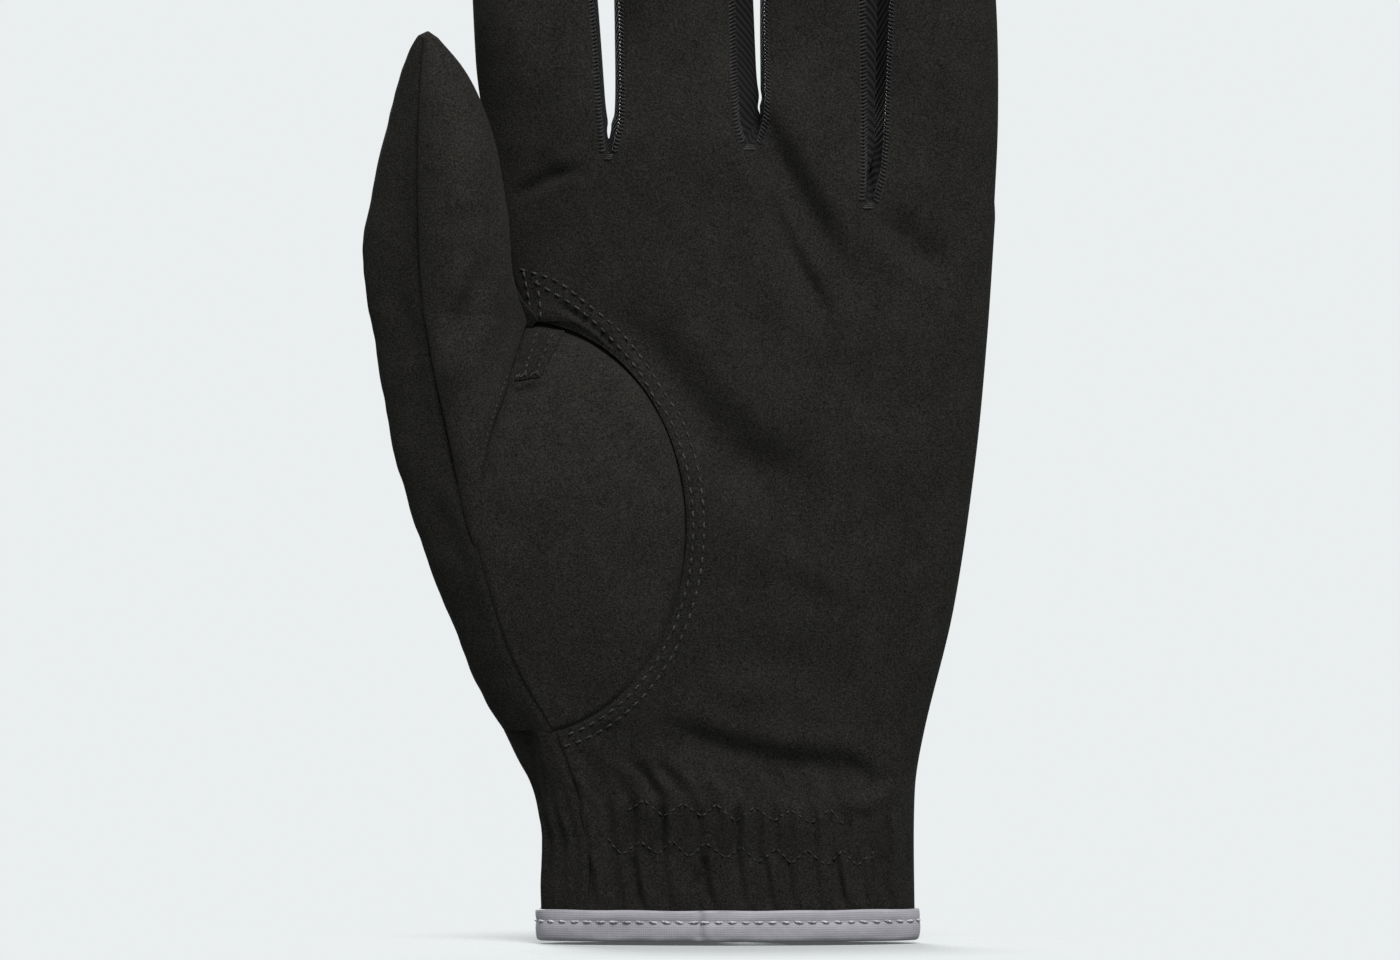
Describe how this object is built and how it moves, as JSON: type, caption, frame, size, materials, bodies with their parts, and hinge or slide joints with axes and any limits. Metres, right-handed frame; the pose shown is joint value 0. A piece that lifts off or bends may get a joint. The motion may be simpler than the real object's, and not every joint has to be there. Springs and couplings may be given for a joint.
{
  "type": "golf rain glove",
  "caption": "Left-hand glove of dark microfibre suede with flexing fingers and thumb, an elastic wrist, a grey bound cuff and a hook-and-loop closure tab on the back.",
  "frame": {"origin": "centre of the cuff opening, on the lower edge of the cuff binding", "axes": "+X from the thumb side to the little-finger side, +Y from the palm to the back of the hand, +Z from the cuff to the fingertips"},
  "size_m": [0.1152, 0.0329, 0.2239],
  "materials": {
    "suede": "matt, short soft nap",
    "stretch_cloth": "matt, fine rib",
    "binding_tape": "satin woven tape",
    "dark_thread": "twisted thread",
    "light_thread": "twisted thread",
    "hook_and_loop": "small hooks and loops",
    "elastic": "ribbed elastic tape"
  },
  "bodies": {
    "hand": {"back_panel": "suede", "binding_thread": "light_thread", "closure_base": "suede", "crotch_gusset_index_middle": "stretch_cloth", "crotch_gusset_middle_ring": "stretch_cloth", "crotch_gusset_ring_little": "stretch_cloth", "cuff_binding": "binding_tape", "elastic_thread_lower": "dark_thread", "elastic_thread_upper": "dark_thread", "index_back_bend": "suede", "index_front_bend": "suede", "little_back_bend": "suede", "little_front_bend": "suede", "loop_patch": "hook_and_loop", "middle_back_bend": "suede", "middle_front_bend": "suede", "oval_thread_inner": "dark_thread", "oval_thread_outer": "dark_thread", "palm_panel": "suede", "ring_back_bend": "suede", "ring_front_bend": "suede", "slit_facing": "stretch_cloth", "thenar_panel": "suede", "thumb_back_base": "suede", "thumb_back_bend": "suede", "thumb_front_base": "suede", "thumb_front_bend": "suede", "thumb_gusset": "suede", "wrist_elastic": "elastic", "wrist_side_panel": "suede"},
    "closure": {"closure_tab": "suede", "hook_patch": "hook_and_loop", "tab_thread": "dark_thread"},
    "thumb": {"thumb_front": "suede", "thumb_back": "suede"},
    "index": {"index_back": "suede", "index_fourchette_middle_side": "stretch_cloth", "index_front": "suede"},
    "middle": {"middle_back": "suede", "middle_fourchette_index_side": "stretch_cloth", "middle_fourchette_ring_side": "stretch_cloth", "middle_front": "suede"},
    "ring": {"ring_back": "suede", "ring_fourchette_little_side": "stretch_cloth", "ring_fourchette_middle_side": "stretch_cloth", "ring_front": "suede"},
    "little": {"little_back": "suede", "little_fourchette_ring_side": "stretch_cloth", "little_front": "suede"}
  },
  "joints": [
    {"name": "index_flex", "type": "hinge", "parent": "hand", "child": "index", "pos_m": [-0.0355, 0, 0.157], "axis": [1, 0, 0], "range_deg": [-10, 65], "stiffness_Nm_per_rad": 0.012, "deforming": ["index_front_bend", "index_back_bend", "crotch_gusset_index_middle"]},
    {"name": "middle_flex", "type": "hinge", "parent": "hand", "child": "middle", "pos_m": [-0.0092, 0, 0.156], "axis": [1, 0, 0], "range_deg": [-10, 65], "stiffness_Nm_per_rad": 0.012, "deforming": ["middle_front_bend", "middle_back_bend", "crotch_gusset_middle_ring"]},
    {"name": "ring_flex", "type": "hinge", "parent": "hand", "child": "ring", "pos_m": [0.0155, 0, 0.153], "axis": [1, 0, 0], "range_deg": [-10, 65], "stiffness_Nm_per_rad": 0.012, "deforming": ["ring_front_bend", "ring_back_bend", "crotch_gusset_ring_little"]},
    {"name": "little_flex", "type": "hinge", "parent": "hand", "child": "little", "pos_m": [0.0392, 0, 0.145], "axis": [1, 0, 0], "range_deg": [-10, 65], "stiffness_Nm_per_rad": 0.012, "deforming": ["little_front_bend", "little_back_bend"]},
    {"name": "thumb_flex", "type": "hinge", "parent": "hand", "child": "thumb", "pos_m": [-0.051, -0.009, 0.12], "axis": [0.8486, 0.5291, 0], "range_deg": [0, 40], "stiffness_Nm_per_rad": 0.012, "deforming": ["thumb_front_bend", "thumb_back_bend"]},
    {"name": "closure_open", "type": "hinge", "parent": "hand", "child": "closure", "pos_m": [-0.01734, 0.01348, 0.0328], "axis": [0.0213, 0.06, 0.998], "range_deg": [0, 120]}
  ]
}
